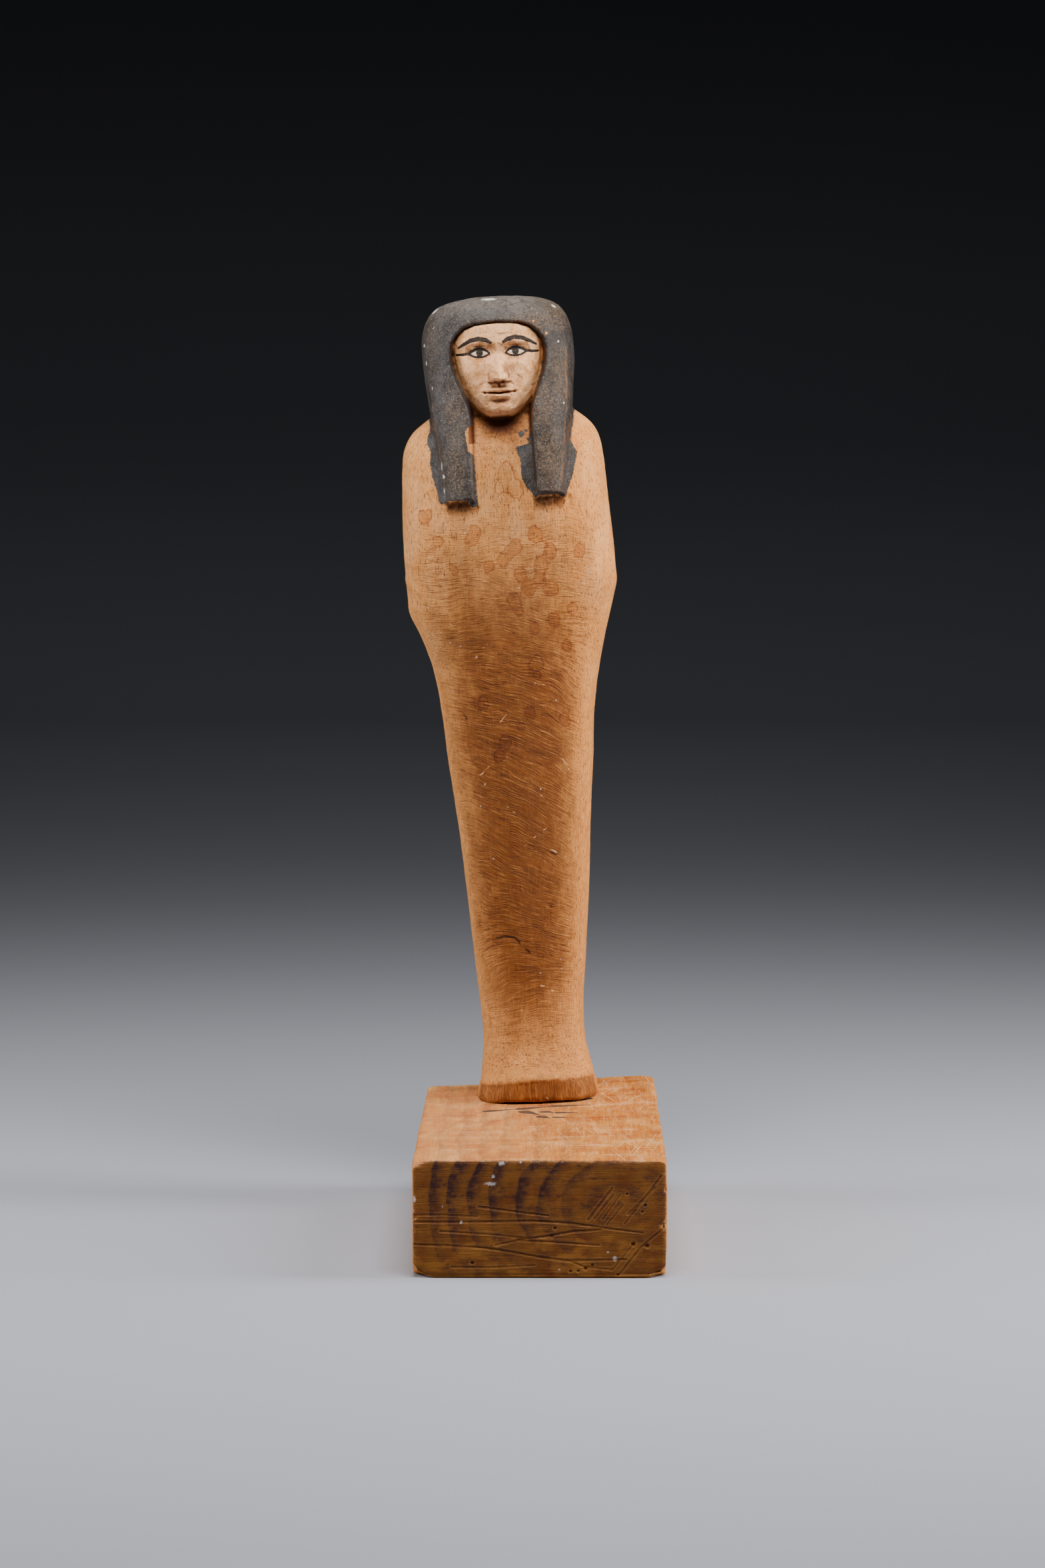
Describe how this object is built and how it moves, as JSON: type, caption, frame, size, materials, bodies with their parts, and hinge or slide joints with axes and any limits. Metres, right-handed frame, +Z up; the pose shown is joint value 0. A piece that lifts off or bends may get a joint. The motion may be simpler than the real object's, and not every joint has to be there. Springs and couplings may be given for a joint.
{
  "type": "osirid figure",
  "caption": "Carved mummiform figure with a tripartite wig, standing near the back of its own oblong plinth.",
  "frame": {"origin": "middle of the plinth's underside, on the surface it stands on", "axes": "+Z up; the figure faces -Y, along the plinth's length; +X is the figure's left"},
  "size_m": [0.1263, 0.2222, 0.4505],
  "materials": {
    "carved_wood": "worn, bare pale wood with matt black paint on the wig and a cream wash on the face",
    "plinth_wood": "worn, bare brown wood"
  },
  "bodies": {
    "root": {"figure": "carved_wood", "plinth": "plinth_wood"}
  },
  "joints": []
}
